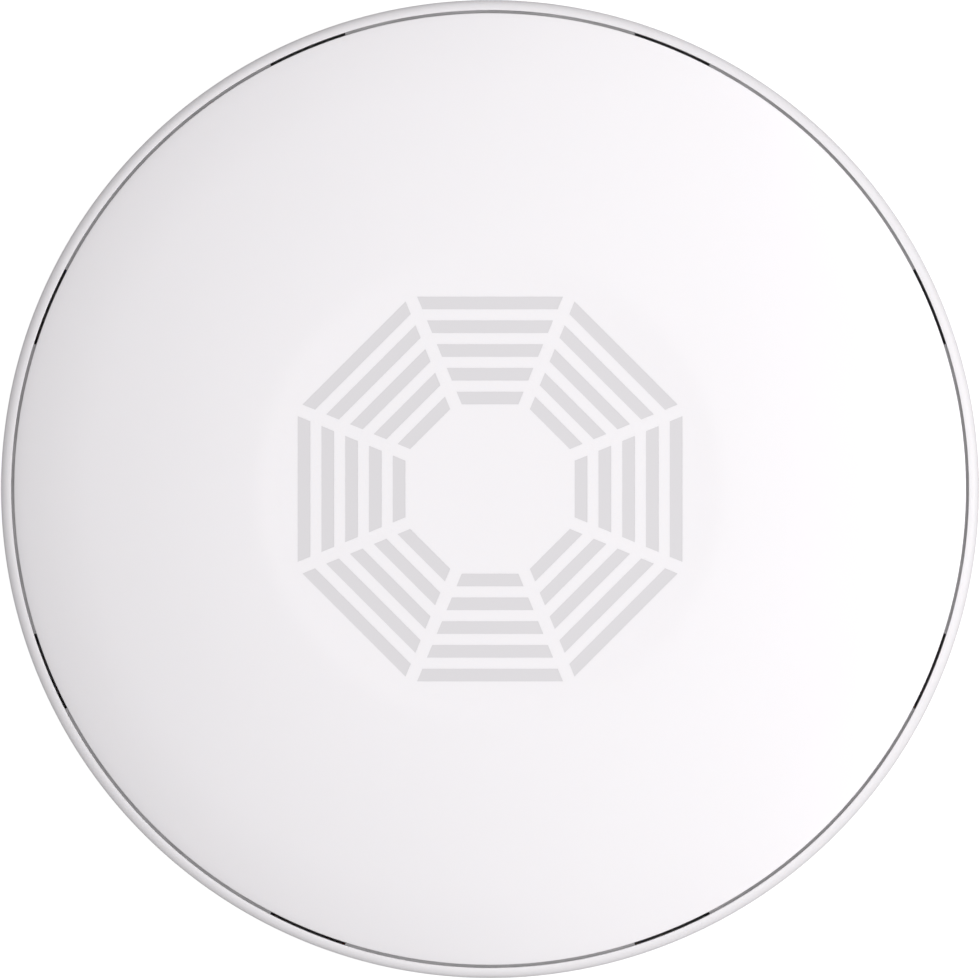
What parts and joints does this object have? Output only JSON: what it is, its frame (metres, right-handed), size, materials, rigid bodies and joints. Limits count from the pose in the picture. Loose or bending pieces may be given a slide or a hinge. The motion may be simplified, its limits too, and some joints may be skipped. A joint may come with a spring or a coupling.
{
  "type": "ceiling access point",
  "caption": "Round white ceiling access point: shallow dome cover in a bowl-shaped housing that twists onto a ceiling bracket, with a shadow gap round the cover and a ring of grey stripes.",
  "frame": {"origin": "centre of the ceiling plane, on the back of the ceiling bracket, on the object's axis", "axes": "+Z out of the front face, away from the ceiling; +Y towards the side that the sockets are on"},
  "size_m": [0.22, 0.22, 0.034],
  "materials": {
    "white_shell": "satin",
    "grey_inlay": "satin",
    "bracket_plastic": "matt moulded",
    "grey_plastic": "matt moulded",
    "clear_plastic": "polished",
    "foam": "foam",
    "steel": "plated",
    "aluminium_plate": "cast and machined",
    "pad_silicone": "soft",
    "board_laminate": "solder mask",
    "black_plastic": "moulded",
    "gold_plate": "plated",
    "transformer_tape": "taped",
    "capacitor_can": "sleeved",
    "lead_sheath": "extruded",
    "label_film": "satin film"
  },
  "bodies": {
    "bracket": {"ceiling_bracket": "bracket_plastic"},
    "access_point": {"rear_housing": "white_shell", "front_cover": "white_shell", "stripe_inlays": "grey_inlay", "light_guide": "clear_plastic", "light_gasket": "foam", "mounting_studs": "steel", "heatsink": "aluminium_plate", "thermal_pads": "pad_silicone", "main_board": "board_laminate", "board_screws": "steel", "cover_screws": "steel", "heatsink_screws": "steel", "shield_cans": "steel", "radio_chips": "black_plastic", "processor": "black_plastic", "memory_chips": "black_plastic", "jack_shell": "steel", "jack_insert": "black_plastic", "jack_contacts": "gold_plate", "dc_jack_body": "black_plastic", "dc_jack_pin": "steel", "line_transformer": "black_plastic", "power_transformer": "transformer_tape", "capacitors": "capacitor_can", "power_coils": "black_plastic", "reset_switch": "black_plastic", "status_led": "clear_plastic", "antenna_ring": "board_laminate", "antennas_low_band": "gold_plate", "antennas_high_band": "gold_plate", "antenna_leads": "lead_sheath", "lead_plugs": "gold_plate", "rating_label": "label_film"},
    "lock": {"lock_slider": "grey_plastic"},
    "reset": {"reset_button": "grey_plastic"}
  },
  "joints": [
    {"name": "twist_lock", "type": "hinge", "parent": "bracket", "child": "access_point", "pos_m": [0, 0, 0], "axis": [0, 0, 1], "range_deg": [0, 20]},
    {"name": "lock_slide", "type": "slide", "parent": "access_point", "child": "lock", "axis": [0.3612, -0.9325, 0], "range_m": [0, 0.005]},
    {"name": "reset_press", "type": "slide", "parent": "access_point", "child": "reset", "axis": [0, 1, 0], "range_m": [0, 0.0004], "stiffness_N_per_m": 2500, "springref_m": -0.0002}
  ]
}
